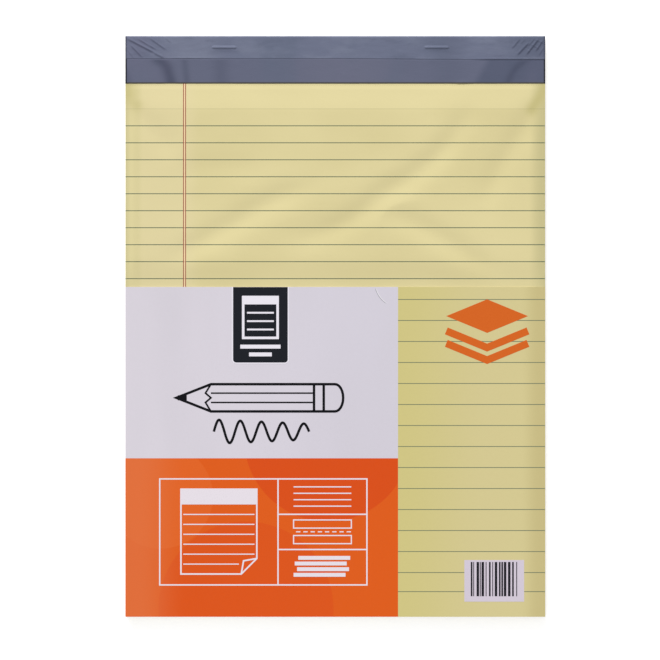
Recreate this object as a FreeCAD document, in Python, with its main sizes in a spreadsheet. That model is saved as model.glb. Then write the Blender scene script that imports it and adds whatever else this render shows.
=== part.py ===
"""Legal pad, lying on its back.

Fifty ruled sheets lie on a chipboard backing. Two flat-wire staples near the top edge go down through
sheets and board, and their legs are clinched inwards in grooves that the wire presses into the board.
A folded strip of binding tape covers the staples: it runs over the front, round the top edge and under
the board, and it rises in a low ridge over each staple's crown. A printed card lies loose on the lower
part of the top sheet, flush with the bottom edge.

Lengths are in millimetres. The origin is the middle of the box round the pad, at the height of the
surface that it lies on. +X runs across the page to the reader's right, +Y up the page to the binding
and +Z out of the page.
"""

import FreeCAD, Part

import math
import os

import Sketcher

PARTS_FOLDER = "parts"

SIZES = (
    ("pad_width", 215.9, "width of sheets, board, tape and card: 8.5 in"),
    ("pad_length", 298.45, "length of sheets and board: 11.75 in"),
    ("sheet_count", 50, "number of sheets in the pad"),
    ("sheet_thickness", 0.1, "one sheet, as it lies in the block"),
    ("board_thickness", 0.75, "chipboard backing"),
    ("tape_thickness", 0.15, "binding tape"),
    ("front_flap", 24.2, "tape on the front, down from the top edge of the sheets"),
    ("back_flap", 20.0, "tape on the back, down from the top edge of the board"),
    ("crease_from_top", 11.2, "crease across the front flap, down from the top edge"),
    ("crease_width", 0.4, "width of the crease at the tape's face"),
    ("crease_depth", 0.05, "depth of the crease in the tape"),
    ("crown_width", 12.0, "staple, over the outside of its legs"),
    ("wire_width", 0.6, "flat staple wire, along the page"),
    ("wire_thickness", 0.4, "flat staple wire, through its bends"),
    ("bend_radius", 0.15, "inner radius of the wire's bends, and the room round a leg"),
    ("clinch_gap", 4.2, "between the tips of the two clinched legs"),
    ("crown_sink", 0.15, "how far the crown is pressed into the sheets"),
    ("wire_clearance", 0.05, "room on each side of the wire in its slots"),
    ("ridge_slope", 0.45, "run of the tape from a ridge's top down to the flap"),
    ("staple_from_top", 5.5, "middle of the staples, down from the top edge"),
    ("staple_spacing", 109.3, "from one staple's middle to the other's"),
    ("staples_off_centre", 2.5, "how far the pair of staples sits to the left of the page's middle"),
    ("card_length", 169.6, "printed card, up from the pad's bottom edge"),
    ("card_thickness", 0.25, "printed card"),
)


class Length:
    """A length that knows its value and the spreadsheet formula that it comes from."""

    def __init__(self, value, formula):
        self.value = value
        self.formula = formula

    def __add__(self, other):
        return Length(self.value + other.value, f"({self.formula} + {other.formula})")

    def __sub__(self, other):
        return Length(self.value - other.value, f"({self.formula} - {other.formula})")

    def __mul__(self, factor):
        if isinstance(factor, Length):
            return Length(self.value * factor.value, f"({self.formula} * {factor.formula})")
        return Length(self.value * factor, f"({self.formula} * {factor})")

    def __truediv__(self, divisor):
        return Length(self.value / divisor, f"({self.formula} / {divisor})")

    def __neg__(self):
        return Length(-self.value, f"(-{self.formula})")


def fill_sheet(document, rows):
    """Write the driving sizes into a spreadsheet and return them as lengths, by name."""
    sheet = document.addObject("Spreadsheet::Sheet", "Sizes")
    lengths = {}
    for row, (name, value, meaning) in enumerate(rows, start=1):
        sheet.set(f"A{row}", meaning)
        sheet.set(f"B{row}", str(value))
        sheet.setAlias(f"B{row}", name)
        lengths[name] = Length(value, f"Sizes.{name}")
    document.recompute()
    return lengths


doc = FreeCAD.newDocument("legal_pad")
size = fill_sheet(doc, SIZES)
ZERO = Length(0.0, "0")

# Heights of the stack, from the surface up
board_bottom = size["tape_thickness"]
board_top = board_bottom + size["board_thickness"]
sheets_height = size["sheet_thickness"] * size["sheet_count"]
sheets_top = board_top + sheets_height
crown_bottom = sheets_top - size["crown_sink"]
crown_top = crown_bottom + size["wire_thickness"]
crown_rise = size["wire_thickness"] - size["crown_sink"]

# Edges of the page: the tape is part of the box that is centred on the origin
half_width = size["pad_width"] / 2
bottom_edge = -(size["pad_length"] + size["tape_thickness"]) / 2
top_edge = (size["pad_length"] - size["tape_thickness"]) / 2
staple_line = top_edge - size["staple_from_top"]
staple_middles = {
    "staple_left": -size["staples_off_centre"] - size["staple_spacing"] / 2,
    "staple_right": -size["staples_off_centre"] + size["staple_spacing"] / 2,
}

# Middles of a staple's legs, from its own middle, and the size of the hole that a leg pierces
leg_offset = (size["crown_width"] - size["wire_thickness"]) / 2
hole_width = size["wire_thickness"] + size["bend_radius"] * 2
slot_height = size["wire_width"] + size["wire_clearance"] * 2
slot_width = size["crown_width"] + size["wire_clearance"] * 2


def new_body(label):
    """An empty body whose label names the piece."""
    body = doc.addObject("PartDesign::Body", label)
    body.Label = label
    return body


def new_sketch(body, name, plane, offset=ZERO):
    """An empty sketch on one of the body's origin planes, moved along the plane's normal."""
    sketch = body.newObject("Sketcher::SketchObject", f"{body.Label}_{name}")
    support = [feature for feature in body.Origin.OriginFeatures if feature.Role == plane]
    sketch.AttachmentSupport = [(support[0], "")]
    sketch.MapMode = "FlatFace"
    sketch.setExpression("AttachmentOffset.Base.z", offset.formula)
    return sketch


def add_arc(sketch, start, end, centre, turn):
    """Add an arc round its centre, to the left (turn 1) or the right (turn -1) from start to end."""
    first, last = (start, end) if turn > 0 else (end, start)
    circle = Part.Circle(centre, FreeCAD.Vector(0, 0, 1), (first - centre).Length)
    first_angle = math.atan2(first.y - centre.y, first.x - centre.x)
    last_angle = math.atan2(last.y - centre.y, last.x - centre.x)
    if last_angle <= first_angle:
        last_angle += 2 * math.pi
    return sketch.addGeometry(Part.ArcOfCircle(circle, first_angle, last_angle))


def bind(sketch, axis, edge, vertex, length):
    """Hold a vertex at a distance from the sketch's origin, along its X or Y axis."""
    distance = Sketcher.Constraint(f"Distance{axis}", -1, 1, edge, vertex, length.value)
    number = sketch.addConstraint(distance)
    sketch.setExpression(f"Constraints[{number}]", length.formula)


def draw(sketch, corners, closed=True):
    """Draw a chain of lines and arcs, with every corner and centre bound to the sizes.

    A corner is (x, y). Where an arc leaves it, it is (x, y, centre, turn).
    """
    points = [FreeCAD.Vector(corner[0].value, corner[1].value, 0) for corner in corners]
    edges = []
    for index in range(len(corners) if closed else len(corners) - 1):
        start = points[index]
        end = points[(index + 1) % len(points)]
        if len(corners[index]) == 2:
            edges.append((sketch.addGeometry(Part.LineSegment(start, end)), 1, 2))
            continue
        (centre_x, centre_y), turn = corners[index][2:]
        centre = FreeCAD.Vector(centre_x.value, centre_y.value, 0)
        arc = add_arc(sketch, start, end, centre, turn)
        edges.append((arc, 1, 2) if turn > 0 else (arc, 2, 1))
        bind(sketch, "X", arc, 3, centre_x)
    ends = [(edge, first) for edge, first, last in edges]
    following = edges[1:]
    if closed:
        following.append(edges[0])
    else:
        ends.append((edges[-1][0], edges[-1][2]))
    for (edge, first, last), (next_edge, next_first, next_last) in zip(edges, following):
        sketch.addConstraint(Sketcher.Constraint("Coincident", edge, last, next_edge, next_first))
    for (edge, vertex), corner in zip(ends, corners):
        bind(sketch, "X", edge, vertex, corner[0])
        bind(sketch, "Y", edge, vertex, corner[1])


def draw_rectangle(sketch, left, right, low, high):
    """Draw a rectangle between two places along each axis of the sketch."""
    draw(sketch, ((left, low), (right, low), (right, high), (left, high)))


def draw_box(sketch, middle_x, middle_y, width, height):
    """Draw a rectangle of a given width and height round its middle."""
    draw_rectangle(
        sketch,
        middle_x - width / 2,
        middle_x + width / 2,
        middle_y - height / 2,
        middle_y + height / 2,
    )


def draw_slot(sketch, middle_x, middle_y, width, height):
    """Draw a long slot with round ends, of a given overall width and height."""
    radius = height / 2
    left = middle_x - width / 2 + radius
    right = middle_x + width / 2 - radius
    low = middle_y - radius
    high = middle_y + radius
    right_end = (right, middle_y)
    left_end = (left, middle_y)
    draw(sketch, ((left, low), (right, low, right_end, 1), (right, high), (left, high, left_end, 1)))


def pad_up(body, sketch, height):
    """Pad a sketch along its normal."""
    pad = body.newObject("PartDesign::Pad", f"{sketch.Name}_pad")
    pad.Profile = sketch
    pad.setExpression("Length", height.formula)
    return pad


def cut_up(body, sketch, depth):
    """Cut a pocket along the sketch's normal, which is upwards on a horizontal sketch."""
    pocket = body.newObject("PartDesign::Pocket", f"{sketch.Name}_pocket")
    pocket.Profile = sketch
    pocket.Reversed = True
    pocket.setExpression("Length", depth.formula)
    return pocket


def cut_leg_holes(body, bottom, height):
    """Cut the holes that the four staple legs pierce in a layer of the pad."""
    sketch = new_sketch(body, "leg_holes", "XY_Plane", bottom)
    for middle in staple_middles.values():
        for side in (-1, 1):
            draw_box(sketch, middle + leg_offset * side, staple_line, hole_width, slot_height)
    cut_up(body, sketch, height)


def build_ruled_sheets():
    """The block of sheets, with the pierced holes and the slots that the two crowns press in."""
    body = new_body("ruled_sheets")
    page = new_sketch(body, "page", "XY_Plane", board_top)
    draw_rectangle(page, -half_width, half_width, bottom_edge, top_edge)
    pad_up(body, page, sheets_height)
    cut_leg_holes(body, board_top, sheets_height)
    slots = new_sketch(body, "crown_slots", "XY_Plane", crown_bottom)
    for middle in staple_middles.values():
        draw_box(slots, middle, staple_line, slot_width, slot_height)
    cut_up(body, slots, size["crown_sink"])
    return body


def build_backing_board():
    """The chipboard, with the pierced holes and a pressed groove for each clinched leg."""
    body = new_body("backing_board")
    outline = new_sketch(body, "outline", "XY_Plane", board_bottom)
    draw_rectangle(outline, -half_width, half_width, bottom_edge, top_edge)
    pad_up(body, outline, size["board_thickness"])
    cut_leg_holes(body, board_bottom, size["board_thickness"])
    grooves = new_sketch(body, "clinch_grooves", "XY_Plane", board_bottom)
    groove_start = size["clinch_gap"] / 2 - size["wire_clearance"]
    groove_end = slot_width / 2
    for middle in staple_middles.values():
        for side in (-1, 1):
            groove_middle = middle + (groove_start + groove_end) / 2 * side
            draw_box(grooves, groove_middle, staple_line, groove_end - groove_start, slot_height)
    cut_up(body, grooves, size["wire_thickness"])
    return body


def build_staple(label, middle):
    """A flat wire bent in one plane: crown, two legs and two clinched ends that point inwards."""
    body = new_body(label)
    half_wire = size["wire_thickness"] / 2
    bend = size["bend_radius"] + half_wire
    side = leg_offset
    low = board_bottom + half_wire
    high = crown_top - half_wire
    tip = size["clinch_gap"] / 2
    path = new_sketch(body, "path", "XZ_Plane")
    draw(
        path,
        (
            (-tip, low),
            (-side + bend, low, (-side + bend, low + bend), -1),
            (-side, low + bend),
            (-side, high - bend, (-side + bend, high - bend), -1),
            (-side + bend, high),
            (side - bend, high, (side - bend, high - bend), -1),
            (side, high - bend),
            (side, low + bend, (side - bend, low + bend), -1),
            (side - bend, low),
            (tip, low),
        ),
        closed=False,
    )
    section = new_sketch(body, "section", "YZ_Plane", -tip)
    draw_box(section, ZERO, low, size["wire_width"], size["wire_thickness"])
    wire = body.newObject("PartDesign::AdditivePipe", f"{label}_wire")
    wire.Profile = section
    wire.Spine = path
    body.setExpression("Placement.Base.x", middle.formula)
    body.setExpression("Placement.Base.y", staple_line.formula)
    return body


def add_crown_ridges(body, flap_top):
    """Raise the tape over each crown: a low loft with sloping sides, hollow where the crown lies."""
    top_width = slot_width + size["tape_thickness"] * 2
    top_height = slot_height + size["tape_thickness"] * 2
    for label, middle in staple_middles.items():
        foot = new_sketch(body, f"{label}_ridge_foot", "XY_Plane", flap_top)
        draw_slot(
            foot,
            middle,
            staple_line,
            top_width + size["ridge_slope"] * 2,
            top_height + size["ridge_slope"] * 2,
        )
        top = new_sketch(body, f"{label}_ridge_top", "XY_Plane", flap_top + crown_rise)
        draw_slot(top, middle, staple_line, top_width, top_height)
        ridge = body.newObject("PartDesign::AdditiveLoft", f"{label}_ridge")
        ridge.Profile = foot
        ridge.Sections = [top]
        ridge.Ruled = True
    hollow = new_sketch(body, "crown_hollows", "XY_Plane", sheets_top)
    for middle in staple_middles.values():
        draw_box(hollow, middle, staple_line, slot_width, slot_height)
    cut_up(body, hollow, crown_rise)


def build_binding_tape():
    """A strip folded round the top edge, with a crease and a ridge over each crown."""
    body = new_body("binding_tape")
    tape = size["tape_thickness"]
    front_end = top_edge - size["front_flap"]
    back_end = top_edge - size["back_flap"]
    flap_top = sheets_top + tape
    section = new_sketch(body, "section", "YZ_Plane", -half_width)
    draw(
        section,
        (
            (back_end, ZERO),
            (top_edge, ZERO, (top_edge, tape), 1),
            (top_edge + tape, tape),
            (top_edge + tape, sheets_top, (top_edge, sheets_top), 1),
            (top_edge, flap_top),
            (front_end, flap_top),
            (front_end, sheets_top),
            (top_edge, sheets_top),
            (top_edge, board_bottom),
            (back_end, board_bottom),
        ),
    )
    pad_up(body, section, size["pad_width"])
    crease = new_sketch(body, "crease", "YZ_Plane", -half_width)
    crease_line = top_edge - size["crease_from_top"]
    draw(
        crease,
        (
            (crease_line - size["crease_width"] / 2, flap_top),
            (crease_line, flap_top - size["crease_depth"]),
            (crease_line + size["crease_width"] / 2, flap_top),
        ),
    )
    cut_up(body, crease, size["pad_width"])
    add_crown_ridges(body, flap_top)
    return body


def build_printed_card():
    """The loose card on the lower part of the top sheet."""
    body = new_body("printed_card")
    outline = new_sketch(body, "outline", "XY_Plane", sheets_top)
    draw_rectangle(outline, -half_width, half_width, bottom_edge, bottom_edge + size["card_length"])
    pad_up(body, outline, size["card_thickness"])
    return body


def check(bodies):
    """Stop if an object of the document failed, or a piece is not one valid solid."""
    for item in doc.Objects:
        if "Invalid" in item.State or "Error" in item.State:
            raise RuntimeError(f"{item.Label} failed: {item.State}")
    for body in bodies:
        shape = body.Shape
        if shape.isNull() or not shape.isValid() or len(shape.Solids) != 1:
            raise RuntimeError(f"{body.Label} is not one valid solid")


def main():
    """Build the pieces, check them and write one STEP file for each."""
    bodies = [build_ruled_sheets(), build_backing_board(), build_binding_tape(), build_printed_card()]
    bodies += [build_staple(label, middle) for label, middle in staple_middles.items()]
    doc.recompute()
    check(bodies)
    os.makedirs(PARTS_FOLDER, exist_ok=True)
    for body in bodies:
        box = body.Shape.BoundBox
        extents = f"{box.XLength:.2f} x {box.YLength:.2f} x {box.ZLength:.2f} mm"
        print(f"{body.Label}: {extents}, {body.Shape.Volume:.2f} mm3")
        body.Shape.exportStep(f"{PARTS_FOLDER}/{body.Label}.step")


main()
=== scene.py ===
# %% [markdown]
# # A legal pad, seen from above
#
# The pad lies on its back: fifty ruled sheets on chipboard, stapled and bound with a folded strip of
# slate-blue paper, with a printed card on the page. The construction comes as a fixed frame of solids, and
# this script gives every surface its looks. It notes the frame's box.

# %% Load the frame
import math

import bpy
import numpy as np
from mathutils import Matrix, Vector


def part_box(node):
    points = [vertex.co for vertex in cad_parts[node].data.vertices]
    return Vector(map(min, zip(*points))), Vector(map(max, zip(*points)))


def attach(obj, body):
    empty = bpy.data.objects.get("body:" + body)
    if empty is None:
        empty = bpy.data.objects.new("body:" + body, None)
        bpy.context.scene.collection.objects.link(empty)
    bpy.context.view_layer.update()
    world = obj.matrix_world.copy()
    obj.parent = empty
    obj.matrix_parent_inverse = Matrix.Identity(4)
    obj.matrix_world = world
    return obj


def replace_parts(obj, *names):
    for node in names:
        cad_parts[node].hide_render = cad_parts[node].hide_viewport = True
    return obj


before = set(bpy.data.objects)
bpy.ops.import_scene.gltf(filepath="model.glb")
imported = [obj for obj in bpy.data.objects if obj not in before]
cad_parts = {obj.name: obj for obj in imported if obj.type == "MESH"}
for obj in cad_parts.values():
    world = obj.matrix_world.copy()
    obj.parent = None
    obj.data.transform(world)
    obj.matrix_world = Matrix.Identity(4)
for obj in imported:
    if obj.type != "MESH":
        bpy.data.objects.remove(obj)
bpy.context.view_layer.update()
print("nodes:", ", ".join(sorted(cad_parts)))

# %% [markdown]
# Every place on the pad is worked out from the boxes of its solids, so that nothing is fitted by eye. On the
# page x runs to the reader's right, y up to the binding and z out of the page.

# %% Places on the pad
MM = 0.001
sheets_low, sheets_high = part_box("ruled_sheets")
tape_low, tape_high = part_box("binding_tape")
card_low, card_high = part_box("printed_card")
LEFT, RIGHT = sheets_low.x, sheets_high.x
BOTTOM, TOP = sheets_low.y, sheets_high.y
PAGE_Z = sheets_high.z
SHEET_COUNT = 50
SHEET = (sheets_high.z - sheets_low.z) / SHEET_COUNT
TAPE = tape_high.y - sheets_high.y
FLAP_END = tape_low.y
print(f"page {RIGHT - LEFT:.4f} x {TOP - BOTTOM:.4f} m, flap {TOP - FLAP_END:.4f} m, sheet {SHEET:.5f} m")

# %% [markdown]
# Colours are easiest to judge as a screen shows them, from 0 to 255, but a shader wants them linear.


# %% Colours
def screen_colour(red, green, blue):
    """A linear colour: a channel c goes to c/12.92 up to 0.04045 and to ((c+0.055)/1.055)^2.4 above it."""
    channel = np.array((red, green, blue)) / 255
    linear = np.where(channel <= 0.04045, channel / 12.92, ((channel + 0.055) / 1.055) ** 2.4)
    return (*linear.tolist(), 1.0)


# %% [markdown]
# ## Surfaces from arrays
#
# Paper, card and tape are the same kind of thing: a front, a back a little below it, and a thin cut edge
# between them. So one function makes them all, closed, from two grids of points.


# %% A shell between two grids
def shell(front, back):
    """Points and faces of a closed shell: the cells of two grids, back to back, and a ring between them."""
    rows, columns = front.shape[:2]
    count = rows * columns
    number = np.arange(count).reshape(rows, columns)
    cells = np.stack((number[:-1, :-1], number[:-1, 1:], number[1:, 1:], number[1:, :-1]), axis=-1)
    cells = cells.reshape(-1, 4)
    border = np.concatenate((number[0, :-1], number[:-1, -1], number[-1, :0:-1], number[:0:-1, 0]))
    after = np.roll(border, -1)
    rim = np.stack((border + count, after + count, after, border), axis=-1)
    points = np.concatenate((front.reshape(-1, 3), back.reshape(-1, 3)))
    return points, np.concatenate((cells, cells[:, ::-1] + count, rim))


def make_piece(name, shells):
    """One mesh object of several shells, shaded smooth but for its sharp edges."""
    starts = np.cumsum([0] + [len(points) for points, _ in shells])
    points = np.concatenate([points for points, _ in shells])
    faces = np.concatenate([faces + start for (_, faces), start in zip(shells, starts)])
    mesh = bpy.data.meshes.new(name)
    mesh.from_pydata(points.tolist(), [], faces.tolist())
    mesh.shade_smooth()
    mesh.set_sharp_from_angle(angle=math.radians(35))
    piece = bpy.data.objects.new(name, mesh)
    bpy.context.scene.collection.objects.link(piece)
    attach(piece, "root")
    print(f"{name}: {len(mesh.polygons)} faces")
    return piece


def stacked(x, y, z):
    """A grid of points from three arrays that spread to one shape."""
    return np.stack(np.broadcast_arrays(x, y, z), axis=-1).astype(float)


# %% [markdown]
# Most soft shapes below are built from two curves: a bell, which is 1 in the middle and dies away to each
# side, and a ramp, which climbs smoothly from 0 to 1.


# %% Bells and ramps
def bell(distance, width):
    """Minus the square of distance over width, as a power of e."""
    return np.exp(-((distance / width) ** 2))


def ramp(value, low, high):
    """0 below low, 1 above high and 3t^2 - 2t^3 between, for t from 0 to 1."""
    t = np.clip((value - low) / (high - low), 0, 1)
    return t * t * (3 - 2 * t)


def along_segment(x, y, start, end):
    """How far each point is along a segment, from 0 to 1, and its distance across."""
    direction = np.subtract(end, start)
    length = np.hypot(*direction)
    direction = direction / length
    along = ((x - start[0]) * direction[0] + (y - start[1]) * direction[1]) / length
    across = (y - start[1]) * direction[0] - (x - start[0]) * direction[1]
    return along, across


def crease(x, y, start, end, width, height):
    """A straight crease: a bell across its line, faded in and out over its ends."""
    along, across = along_segment(x, y, start, end)
    fade = ramp(along, -0.05, 0.25) * (1 - ramp(along, 0.75, 1.05))
    return height * bell(across, width) * fade


# %% [markdown]
# A fold is seldom straight, so it is drawn as a path of a few points, in millimetres from the page's upper
# left corner. Cutting the path's corners three times makes it smooth.


# %% Distance from a path
def smoothed(path):
    """The path with its corners cut three times: each stretch keeps its points at 1/4 and 3/4."""
    path = np.array(path, float)
    for _ in range(3):
        start, end = path[:-1], path[1:]
        cut = np.stack((0.75 * start + 0.25 * end, 0.25 * start + 0.75 * end), axis=1).reshape(-1, 2)
        path = np.concatenate((path[:1], cut, path[-1:]))
    return path


def from_path(x, y, path):
    """Distance to the nearest stretch of a path, and how far along the path that is, from 0 to 1."""
    nearest = np.full(np.shape(x), np.inf)
    along = np.zeros(np.shape(x))
    lengths = np.hypot(*np.diff(path, axis=0).T)
    passed = 0.0
    for start, end, length in zip(path[:-1], path[1:], lengths):
        share, _ = along_segment(x, y, start, end)
        share = np.clip(share, 0, 1)
        distance = np.hypot(x - start[0] - share * (end - start)[0], y - start[1] - share * (end - start)[1])
        closer = distance < nearest
        nearest = np.where(closer, distance, nearest)
        along = np.where(closer, (passed + share * length) / lengths.sum(), along)
        passed += length
    return nearest, along


def strongest_near(x, y, marks, faded=False):
    """The largest of several bells of the distance from a path, each with its own width and strength.

    With faded, a bell fades in and out over the first and last quarter of its path.
    """
    strongest = np.zeros_like(x)
    for points, width, strength in marks:
        distance, along = from_path(x, y, smoothed(np.array(points) * (MM, -MM) + (LEFT, TOP)))
        fade = ramp(along, -0.08, 0.25) * (1 - ramp(along, 0.75, 1.08)) if faded else 1
        strongest = np.maximum(strongest, strength * fade * bell(distance, width * MM))
    return strongest


# %% [markdown]
# ## The page's folds
#
# A sheet that was packed tight doesn't lie quite flat. This one swells a fifth of a millimetre between the
# strip and the card, and shallow folds run through it, most of them down and left from the upper right
# corner. The folds are valleys in the swell, because the next sheet lies right under this one.

# %% Swell and folds
SWELL = 0.22 * MM
FOLD_WIDTH = 6.5
FOLDS = (
    (((217, 26), (206, 46), (193, 66), (184, 88)), FOLD_WIDTH, 0.8),
    (((180, 34), (163, 60), (148, 72), (130, 83), (119, 93), (103, 101), (84, 103)), FOLD_WIDTH, 1.0),
    (((99, 76), (75, 84), (60, 94), (45, 102.5), (33, 109.5), (19, 116)), FOLD_WIDTH, 0.9),
    (((131, 89), (155, 99), (176, 113), (193, 125)), FOLD_WIDTH, 0.9),
    (((-3, 30), (9, 44), (27, 61)), FOLD_WIDTH, 0.6),
    (((26, 70), (48, 66), (70, 69)), FOLD_WIDTH, 0.3),
)


def page_relief(x, y):
    """The swell, which ramps down to 0 at the page's borders, times 1 less the deepest fold there.

    Below the strip the swell starts with a short ramp and goes on with a long one.
    """
    start = 0.28 * ramp(FLAP_END - y, 0, 3.2 * MM) + 0.72 * ramp(FLAP_END - y, 0, 15 * MM)
    swell = SWELL * start * ramp(y - card_high.y, 0, 16 * MM)
    swell = swell * ramp(x - LEFT, 0, 5 * MM) * ramp(RIGHT - x, 0, 8 * MM)
    return swell * (1 - strongest_near(x, y, FOLDS, faded=True))


# %% [markdown]
# ## The sheets
#
# From the side, a pad is a fine stack of cut edges, and no two sheets lie quite level. So the block is
# fifty slabs in one piece, each pushed in a little along its edges, and the top one is a finer grid for the
# folds. Two numbers are kept with the mesh for the material: how high each point stands over the flat page,
# and how far it lies in a patch of painted shade at the page's upper corners.

# %% Fifty sheets
PAGE_SHADES = (
    (((216.5, 24.5), (214.5, 29.0), (209.0, 37.5)), 3.0, 0.85),
    (((0.5, 24.5), (1.5, 30.0)), 4.2, 0.7),
    (((1.0, 32.0), (6.0, 35.5)), 3.0, 0.5),
)
rng = np.random.default_rng(11)
EDGE_PLAY = 0.07 * MM
SHEET_GAP = 0.006 * MM


def page_grid(x_values, y_values):
    """Flat grid of a page, each free edge pushed in by the play times its own slow random wave."""
    x, y = np.meshgrid(x_values, y_values)
    across = (x - LEFT) / (RIGHT - LEFT)
    up = (y - BOTTOM) / (TOP - BOTTOM)
    shift, phase = rng.uniform(0.0, 1.0, 3), rng.uniform(0, 2 * math.pi, 3)
    waves = zip((5 * up, 4 * up, 6 * across), shift, phase)
    left, right, bottom = (EDGE_PLAY * (push + 0.3 + 0.3 * np.sin(wave + turn)) for wave, push, turn in waves)
    free = ramp(TOP - y, 0, 60 * MM)
    return x + free * (left * (1 - across) - right * across), y + bottom * (1 - up)


def sheet_slab(index, x_values, y_values, lift=None):
    """One sheet as a shell, index sheets up from the board, lifted where lift says."""
    x, y = page_grid(x_values, y_values)
    back_z = sheets_low.z + index * SHEET
    raised = 0 if lift is None else lift(x, y)
    front = stacked(x, y, back_z + SHEET - SHEET_GAP + raised)
    return shell(front, stacked(x, y, back_z + raised))


def keep_with_mesh(piece, name, values):
    """Store one number for each point of a piece, for its material to read."""
    attribute = piece.data.attributes.new(name, "FLOAT", "POINT")
    attribute.data.foreach_set("value", np.asarray(values, dtype=np.float32).ravel())


coarse_x, coarse_y = np.linspace(LEFT, RIGHT, 9), np.linspace(BOTTOM, TOP, 11)
fine_x, fine_y = np.linspace(LEFT, RIGHT, 151), np.linspace(BOTTOM, TOP, 209)
slabs = [sheet_slab(index, coarse_x, coarse_y) for index in range(SHEET_COUNT - 1)]
slabs.append(sheet_slab(SHEET_COUNT - 1, fine_x, fine_y, page_relief))
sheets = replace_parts(make_piece("sheets", slabs), "ruled_sheets")
sheet_points = np.concatenate([points for points, _ in slabs])
sheet_heights = sheet_points[:, 2] - (PAGE_Z - SHEET_GAP)
keep_with_mesh(sheets, "relief", np.maximum(sheet_heights, 0))
keep_with_mesh(sheets, "shade", strongest_near(sheet_points[:, 0], sheet_points[:, 1], PAGE_SHADES))
print(f"the page swells up to {sheet_heights.max() / MM:.2f} mm")

# %% [markdown]
# ## The binding strip
#
# The strip is one piece of stiff paper, folded twice. Its section is a path up the front flap, round the
# top edge and down the back flap, with a direction out of the paper at each point. A ridge over a staple or
# a crease is a small height along that direction. The bend is softer than the solid's, as paper bends, and
# the grid's lines crowd at the staples, at the scored line and in the corners.

# %% The strip's section
FOLD_RADIUS = 0.4 * MM
FRONT_Z = PAGE_Z + TAPE
BACK_END = TOP - 20.0 * MM
SCORE_Y = TOP - 11.4 * MM
SCORE_DROP = 0.45 * MM
DROP_RANGE = (0.0, RIGHT - 35 * MM)
edge_y = TOP + TAPE
STAPLES = (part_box("staple_left"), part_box("staple_right"))
CROWN_Y = sum(corner.y for corner in STAPLES[0]) / 2


def crowded(low, high, count, *places):
    """Values from low to high that crowd at (place, width, extra): the summed density read backwards."""
    fine = np.linspace(low, high, 4001)
    density = 1 + sum(extra * bell(fine - place, width) for place, width, extra in places)
    total = np.cumsum(density)
    return np.interp(np.linspace(total[0], total[-1], count), total, fine)


def straight_run(y, z, direction):
    """Points and outward directions of a straight stretch."""
    points = np.stack(np.broadcast_arrays(y, z), axis=-1)
    return points, np.broadcast_to(direction, points.shape)


def quarter_turn(centre, first_angle):
    """Points and outward directions of a quarter circle that turns clockwise from first_angle."""
    angle = first_angle - np.linspace(0, math.pi / 2, 6)
    direction = np.stack((np.cos(angle), np.sin(angle)), axis=-1)
    return np.array(centre) + FOLD_RADIUS * direction, direction


bend_y = edge_y - FOLD_RADIUS
flap_y = crowded(FLAP_END, bend_y, 120, (CROWN_Y, 1.3 * MM, 3), (SCORE_Y, 0.8 * MM, 4), (CROWN_Y, 5 * MM, 1))
side_z = np.linspace(FRONT_Z - FOLD_RADIUS, FOLD_RADIUS, 8)
runs = (
    straight_run(flap_y, FRONT_Z, (0.0, 1.0)),
    quarter_turn((bend_y, FRONT_Z - FOLD_RADIUS), math.pi / 2),
    straight_run(edge_y, side_z, (1.0, 0.0)),
    quarter_turn((bend_y, FOLD_RADIUS), 0),
    straight_run(np.linspace(bend_y, BACK_END, 10), 0, (0.0, -1.0)),
)
joined = [np.concatenate([part[index > 0:] for index, part in enumerate(parts)]) for parts in zip(*runs)]
section, outward = joined
print(f"strip section: {len(section)} points, closest {np.diff(flap_y).min() / MM:.2f} mm")

# %% [markdown]
# Each staple's crown, found by its node's box, lifts the strip in a low ridge that is round at its ends.
# Above the scored line the paper stands a tenth of a millimetre higher, with a sharp lip at its left and
# right. A tight pack has creased the corners: a long fan at the left, short crossed creases at the right.

# %% Heights on the strip
RIDGE_HEIGHT = 0.28 * MM
RIDGE_SHIFT = 0.2 * MM
STEP_HEIGHT = 0.09 * MM
LEFT_CREASES = (
    ((0.2, 0.6), (15.8, 8.7), 0.5, 0.20),
    ((14.6, 8.3), (20.0, 11.0), 0.55, 0.13),
    ((2.4, 4.0), (9.0, 10.9), 0.45, 0.14),
    ((6.0, 0.8), (16.2, 6.8), 0.4, 0.13),
    ((12.2, 0.5), (21.4, 7.0), 0.45, 0.12),
    ((0.6, 6.4), (4.4, 11.0), 0.36, 0.06),
    ((20.4, 0.5), (23.6, 3.2), 0.36, 0.05),
    ((9.6, 2.0), (13.0, 5.2), 0.3, -0.05),
)
RIGHT_CREASES = (
    ((12.8, 0.9), (17.2, 6.2), 0.45, 0.12),
    ((8.2, 2.8), (14.6, 9.6), 0.5, 0.17),
    ((3.2, 0.9), (10.0, 9.6), 0.5, 0.19),
    ((1.0, 1.6), (5.0, 7.6), 0.42, 0.16),
    ((5.4, 0.8), (8.8, 4.9), 0.34, 0.09),
    ((0.6, 5.2), (3.4, 9.8), 0.36, 0.09),
    ((10.2, 1.2), (12.8, 3.9), 0.34, 0.06),
    ((0.6, 3.6), (5.6, 1.3), 0.3, 0.08),
    ((2.6, 6.6), (7.4, 4.0), 0.3, 0.06),
    ((6.4, 7.6), (10.4, 5.6), 0.3, -0.06),
)
SOFT_FOLDS = (
    (((16.4, 11.4), (20.8, 14.8), (22.2, 19.6), (23.4, 24.4)), 2.9, 1.0),
    (((30.4, 12.2), (31.6, 23.0)), 1.8, 0.4),
    (((48.8, 12.6), (49.4, 23.8)), 4.2, 0.3),
    (((206.4, 11.8), (199.6, 17.4), (196.4, 24.4)), 1.9, 0.6),
    (((0.2, 18.5), (2.2, 24.4)), 1.8, 0.5),
)


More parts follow.
